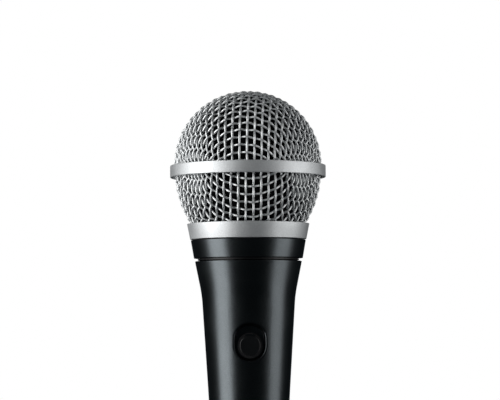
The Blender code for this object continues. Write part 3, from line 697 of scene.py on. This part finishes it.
def pocket_rings(window):
    """Rings of points from the window's edge over the skin, round the rim and down the wall to the floor."""
    directions = [math.atan2(z - POCKET_Z, x) for x, y, z in window]
    rings = []
    for share in spread(0, 1, 9)[1:]:
        ring = []
        for (x0, _, z0), direction in zip(window, directions):
            x1, z1 = slot_outline(direction, POCKET_RIM)
            eased = 1 - (1 - share) ** WINDOW_EASE
            x, z = x0 + (x1 - x0) * eased, z0 + (z1 + POCKET_Z - z0) * eased
            ring.append((x, skin_y(x, z), z))
        rings.append(ring)
    for angle in spread(0, math.pi / 2 - POCKET_DRAFT, 6)[1:]:
        grow = POCKET_RIM * (1 - math.sin(angle))
        depth = POCKET_RIM * (1 - math.cos(angle))
        rings.append(pocket_ring(directions, grow, depth))
    rim = pocket_ring(directions, 0.0, 0.0)
    rim_depth = POCKET_RIM * (1 - math.sin(POCKET_DRAFT))
    for share in spread(0, 1, 5)[1:]:
        ring = []
        for (x, y, z), direction in zip(rim, directions):
            start = y + rim_depth
            end = POCKET_FLOOR_Y - POCKET_HEEL
            now = start + (end - start) * share
            x1, z1 = slot_outline(direction, -(now - start) * POCKET_DRAFT)
            ring.append((x1, now, z1 + POCKET_Z))
        rings.append(ring)
    foot = rings[-1]
    for angle in spread(0, math.pi / 2, 5)[1:]:
        inward = POCKET_HEEL * (1 - math.cos(angle))
        sink = POCKET_HEEL * math.sin(angle)
        rings.append([
            (x - math.cos(d) * inward, y + sink, z - math.sin(d) * inward)
            for (x, y, z), d in zip(foot, directions)
        ])
    return rings


def pocket_ring(directions, grow, depth):
    """The pocket's outline, grown outward and sunk below the skin."""
    ring = []
    for direction in directions:
        x, z = slot_outline(direction, grow)
        z += POCKET_Z
        ring.append((x, skin_y(x, z) + depth, z))
    return ring


def handle_rows():
    """(radius, height) down the outside, round at both ends, and the row that the window starts on."""
    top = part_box("handle_body")[1].z
    window_top, window_foot = POCKET_Z + WINDOW_HALF_HEIGHT, POCKET_Z - WINDOW_HALF_HEIGHT
    upper = spread(top - 0.9 * MM, window_top, 40)
    middle = spread(window_top, window_foot, WINDOW_ROWS + 1)
    lower = spread(window_foot, 1.0 * MM, 44)
    heights = [*upper, *middle[1:], *lower[1:]]
    side = [(handle_radius(z), z) for z in heights]
    lip = handle_radius(top)
    head = [(lip - 1.4 * MM, top), (lip, top), side[0]]
    tail = [side[-1], (TAIL_RADIUS, 0.0), (TAIL_RADIUS - 1.0 * MM, 0.0)]
    head, tail = (rounded(end, 0.5 * MM, 6, closed=False) for end in (head, tail))
    rows = [(r, z) for r, z in head[:-1]] + side + [(r, z) for r, z in tail[1:]]
    first = len(head) - 1 + len(upper) - 1
    return rows, first


def make_handle_skin():
    """A closed solid of the handle's outside, with the switch's pocket worked into its front."""
    rows, first = handle_rows()
    last = first + WINDOW_ROWS
    half = WINDOW_HALF_COLUMNS
    points, index = [], {}
    for row, (radius, z) in enumerate(rows):
        for column in range(HANDLE_COLUMNS):
            angle = FRONT + 2 * math.pi * (column - half) / HANDLE_COLUMNS
            if first < row < last and 0 < column < 2 * half:
                continue
            index[row, column] = len(points)
            points.append((radius * math.cos(angle), radius * math.sin(angle), z))
    faces = []
    for row in range(len(rows) - 1):
        for column in range(HANDLE_COLUMNS):
            if first <= row < last and column < 2 * half:
                continue
            corners = ((row, 0), (row + 1, 0), (row + 1, 1), (row, 1))
            faces.append(tuple(index[r, (column + c) % HANDLE_COLUMNS] for r, c in corners))
    faces.append([index[0, c] for c in range(HANDLE_COLUMNS)])
    faces.append([index[len(rows) - 1, c] for c in reversed(range(HANDLE_COLUMNS))])

    edge = [index[row, 0] for row in range(first, last)]
    edge += [index[last, column] for column in range(2 * half)]
    edge += [index[row, 2 * half] for row in range(last, first, -1)]
    edge += [index[first, column] for column in range(2 * half, 0, -1)]
    ring = edge
    for made in pocket_rings([points[i] for i in edge]):
        start = len(points)
        points += made
        inner = list(range(start, start + len(made)))
        for k in range(len(ring)):
            n = (k + 1) % len(ring)
            faces.append((ring[k], inner[k], inner[n], ring[n]))
        ring = inner
    faces.append(ring[::-1])
    return new_piece("handle_shell", points, faces, "black_paint")


def set_screw_cutter(profile, columns):
    """A turned cutter for the set screw's hole, with its axis along Y at the back of the tail."""
    cutter = turned("cutter", profile, None, columns)
    cutter.data.transform(Matrix.Translation((0, 0, SET_SCREW_Z)) @ Matrix.Rotation(-math.pi / 2, 4, "X"))
    return cutter


def handle_bore(past):
    """The cutter for the handle's hollow, with the boss behind the switch's pocket left standing."""
    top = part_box("handle_body")[1].z
    mouth, mouth_z = 14.5 * MM, 95.2 * MM
    chamfer = 0.35 * MM
    cavity = [(handle_radius(z) - HANDLE_WALL, z) for z in spread(93.5 * MM, 26.5 * MM, 24)]
    bore = turned("cutter", [
        (0.0, top + past), (mouth + chamfer + past, top + past), (mouth, top - chamfer), (mouth, mouth_z),
        *cavity,
        (SOCKET_RADIUS, SOCKET_END_Z), (SOCKET_RADIUS, chamfer), (SOCKET_RADIUS + chamfer + past, -past),
        (0.0, -past),
    ], None, 144)
    wide = 2 * TAIL_RADIUS
    boss = box_cutter((-wide, -wide, 68 * MM), (wide, -10.6 * MM, 87.5 * MM))
    return carve(bore, boss)


def make_handle():
    handle = make_handle_skin()
    past = 1 * MM
    bore = handle_bore(past)
    latch = box_cutter((-1.1 * MM, SOCKET_RADIUS / 2, -past), (1.1 * MM, 9.3 * MM, 9.5 * MM))
    slot_x, slot_half = 1.6 * MM, 2.7 * MM
    stem = box_cutter(
        (-slot_x, -13.4 * MM, POCKET_Z - slot_half), (slot_x, -9.6 * MM, POCKET_Z + slot_half)
    )
    hole = set_screw_cutter([
        (0.0, 14 * MM), (2.4 * MM, 14 * MM), (SET_SCREW_BORE, 11.6 * MM), (SET_SCREW_BORE, SET_SCREW_END),
        (0.0, SET_SCREW_END),
    ], 48)
    carve(handle, bore, latch, stem, hole)
    stand_for(handle, "handle", "black_paint", "handle_body")


def make_name_ring():
    low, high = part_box("name_ring")
    outline = [
        (RING_TOP_RADIUS, high.z), (RING_FOOT_RADIUS, low.z), (COLLAR_BORE, low.z), (COLLAR_BORE, high.z)
    ]
    ring = turned("black_ring", rounded(outline, 0.2 * MM), "black_paint", 192, closed=True)
    stand_for(ring, "handle", "black_paint", "name_ring")


def thread_depth(angle, z, low, high):
    """How deep the thread's groove is at a place on the neck. It runs out at both ends."""
    half_width = 0.36  # of a pitch
    turn = (z / THREAD_PITCH - angle / (2 * math.pi)) % 1.0
    groove = max(0.0, 1 - abs(turn - 0.5) / half_width)
    ends = min(1.0, max(0.0, (z - low) / THREAD_PITCH), max(0.0, (high - z) / THREAD_PITCH))
    return THREAD_DEPTH * groove * ends


def make_neck():
    """The neck, with a real helical thread cut into it where the collar screws on."""
    low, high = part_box("threaded_neck")
    chamfer = 0.3 * MM
    thread_high = high.z - 0.4 * MM
    flange, flange_low, flange_high = 17.2 * MM, 105.3 * MM, 105.65 * MM
    plug, bore, cup, ledge = 14.2 * MM, 12.6 * MM, 15 * MM, 107 * MM
    threaded = [(NECK_RADIUS, z) for z in spread(high.z - chamfer, 111.5 * MM, 90)]
    outside = [
        (NECK_RADIUS - chamfer, high.z), *threaded, (NECK_RADIUS, flange_high),
        (flange, flange_high), (flange, flange_low), (plug, flange_low), (plug, low.z),
    ]
    inside = [(bore, low.z), (bore, ledge), (cup, ledge), (cup, high.z)]
    neck = turned("neck_thread", [*outside, *inside], "black_plastic", 120, closed=True)
    for vertex in neck.data.vertices:
        x, y, z = vertex.co
        if abs(math.hypot(x, y) - NECK_RADIUS) < 1e-6 and z > THREAD_FOOT_Z:
            depth = thread_depth(math.atan2(y, x), z, THREAD_FOOT_Z, thread_high)
            share = 1 - depth / NECK_RADIUS
            vertex.co.x *= share
            vertex.co.y *= share
    smooth(neck, 30.0)
    stand_for(neck, "handle", "black_plastic", "threaded_neck")


# ---------------------------------------------------------------- switch and connector


def make_switch():
    """The button: a cap with a dished face and a soft rim, on its square stem."""
    low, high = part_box("switch_button")
    centre_z = (low.z + high.z) / 2
    radius = outer_radius("switch_button")
    front = -low.y
    back = front - 0.8 * MM
    dish = 0.12 * MM
    rim = radius - 0.55 * MM
    stem_half, stem_overlap = 1.3 * MM, 0.2 * MM
    bowl = [(rim * s, front - dish * (1 - s**2)) for s in spread(0, 1, 8)]
    outline = [*bowl, (radius, front), (radius, back), (0.0, back)]
    profile = rounded(outline, 0.24 * MM, closed=False)
    button = lay_along_y(turned("button_cap", profile, "switch_plastic", 96))
    button.data.transform(Matrix.Translation((0, 0, centre_z)))
    stem = box_cutter(
        (-stem_half, -back - stem_overlap, centre_z - stem_half), (stem_half, high.y, centre_z + stem_half)
    )
    carve(button, stem, operation="UNION")
    stand_for(button, "switch", "black_plastic", "switch_button")


def make_contact_pin(number):
    """A contact with a round nose below and a solder cup above."""
    node = f"xlr_pin_{number}"
    low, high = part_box(node)
    radius = outer_radius(node)
    cup_radius, cup_z = 0.8 * MM, high.z - 2.5 * MM
    nose = [
        (radius * math.cos(t), low.z + radius * (1 - math.sin(t))) for t in spread(0, math.pi / 2, 8)
    ]
    nose[-1] = (0.0, low.z)
    profile = [(0.0, cup_z), (cup_radius, cup_z), (cup_radius, high.z), (radius, high.z), *nose]
    centre = ((low.x + high.x) / 2, (low.y + high.y) / 2)
    pin = turned(f"contact_pin_{number}", profile, "brass", 40, centre=centre)
    stand_for(pin, "handle", "brass", node)
    return centre, radius


def make_connector():
    """The insert, with holes for its three contacts and for the set screw."""
    low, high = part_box("xlr_insert")
    radius = outer_radius("xlr_insert")
    clearance, past = 0.3 * MM, 1 * MM
    outline = [(0.0, high.z), (radius, high.z), (radius, low.z), (0.0, low.z)]
    insert = turned("connector_insert", rounded(outline, 0.25 * MM, closed=False), "black_plastic", 96)
    cutters = []
    for number in (1, 2, 3):
        centre, pin_radius = make_contact_pin(number)
        hole = pin_radius + clearance
        cutters.append(turned("cutter", [
            (0.0, high.z + past), (hole, high.z + past), (hole, low.z - past), (0.0, low.z - past)
        ], None, 40, centre=centre))
    screw = set_screw_cutter([
        (0.0, 12 * MM), (SET_SCREW_BORE, 12 * MM), (SET_SCREW_BORE, SET_SCREW_END), (0.0, SET_SCREW_END)
    ], 40)
    carve(insert, *cutters, screw)
    stand_for(insert, "handle", "black_plastic", "xlr_insert")


def dress_cad_nodes():
    """The inner pieces keep their CAD shapes. Each gets its slot's material and smooth round sides."""
    slots = {part["node"]: part["material_slot"] for part in frame["record"]["subparts"]}
    for node, obj in frame["nodes"].items():
        obj.data.materials.clear()
        obj.data.materials.append(MATERIALS[slots[node]])
        smooth(obj, 32.0)


def node_copy(node):
    """A new piece with a CAD node's own mesh, for a soft part that has to flex."""
    obj = bpy.data.objects.new(f"{node}_flexing", frame["nodes"][node].data.copy())
    bpy.context.scene.collection.objects.link(obj)
    return obj


def make_flexing_parts():
    """Copies of the rubber mount, set on the handle, and of the two leads, each in place of its CAD node."""
    mount = stand_for(node_copy("shock_mount"), "handle", "rubber", "shock_mount")
    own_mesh(mount)
    for side, slot in (("hot", "red_wire"), ("cold", "black_wire")):
        node = f"cartridge_lead_{side}"
        lead = node_copy(node)
        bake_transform(lead)
        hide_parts(node)


# ---------------------------------------------------------------- camera, light and floor


def add_softbox(name, bearing, width, power):
    """A tall soft light, aimed at the microphone. The bearing is from the front, in degrees to the right."""
    light = bpy.data.lights.new(name, "AREA")
    light.shape = "RECTANGLE"
    light.size, light.size_y = width, LIGHT_LENGTH
    light.energy = power
    obj = bpy.data.objects.new(name, light)
    bpy.context.scene.collection.objects.link(obj)
    angle = math.radians(bearing)
    obj.location = (LIGHT_DISTANCE * math.sin(angle), -LIGHT_DISTANCE * math.cos(angle), LIGHT_HEIGHT)
    aim = Vector((0, 0, LIGHT_HEIGHT)) - obj.location
    obj.rotation_euler = aim.to_track_quat("-Z", "Y").to_euler()


def make_world():
    """White to the camera, and a dim cool tint to all that the microphone reflects."""
    world = bpy.data.worlds.new("studio")
    bpy.context.scene.world = world
    world.use_nodes = True
    nodes, links = world.node_tree.nodes, world.node_tree.links
    nodes.clear()
    path = nodes.new("ShaderNodeLightPath")
    seen = nodes.new("ShaderNodeBackground")
    seen.inputs["Color"].default_value = (1.0, 1.0, 1.0, 1.0)
    unseen = nodes.new("ShaderNodeBackground")
    unseen.inputs["Color"].default_value = (0.7, 0.95, 1.1, 1.0)
    unseen.inputs["Strength"].default_value = 0.016
    mix = nodes.new("ShaderNodeMixShader")
    output = nodes.new("ShaderNodeOutputWorld")
    links.new(path.outputs["Is Camera Ray"], mix.inputs["Fac"])
    links.new(unseen.outputs["Background"], mix.inputs[1])
    links.new(seen.outputs["Background"], mix.inputs[2])
    links.new(mix.outputs["Shader"], output.inputs["Surface"])


def make_stage():
    """The white studio, the two lights, and a pale round floor that glows a little, as a lit one would."""
    make_world()
    add_softbox("key_softbox", bearing=-69.5, width=0.57, power=8.55)
    add_softbox("fill_softbox", bearing=75, width=0.52, power=3.85)
    floor_radius, floor_z = 0.3, -0.2 * MM
    floor = turned("floor", [(0.0, floor_z), (floor_radius, floor_z)], None, 96)
    material = make_material(
        "pale_floor", (0.82, 0.82, 0.81), 0.7, grain=2 * MM, height=0.02 * MM, contrast=0.02,
        Emission_Color=(1.0, 1.0, 1.0, 1.0), Emission_Strength=0.55,
    )
    floor.data.materials.append(material)
    floor.visible_glossy = False


def make_camera():
    """A long lens at the height of the grip, a little to the left, looking slightly up."""
    bearing, distance, height = math.radians(-1.54), 0.65, 87.75 * MM
    pitch, pan, roll = math.radians(3.351), math.radians(0.058), math.radians(-0.34)
    data = bpy.data.cameras.new("camera")
    data.sensor_width = 36.0
    data.lens = 137.66
    data.clip_start = 0.01
    camera = bpy.data.objects.new("camera", data)
    bpy.context.scene.collection.objects.link(camera)
    camera.location = (distance * math.sin(bearing), -distance * math.cos(bearing), height)
    turn = Matrix.Rotation(bearing - pan, 4, "Z") @ Matrix.Rotation(math.pi / 2 + pitch, 4, "X")
    camera.rotation_euler = (turn @ Matrix.Rotation(roll, 4, "Z")).to_euler()
    bpy.context.scene.camera = camera


bpy.context.scene.view_settings.view_transform = "Standard"
make_stage()
make_camera()
dress_cad_nodes()
make_flexing_parts()
make_grille()
make_rings()
make_foam()
make_handle()
make_name_ring()
make_neck()
make_switch()
make_connector()
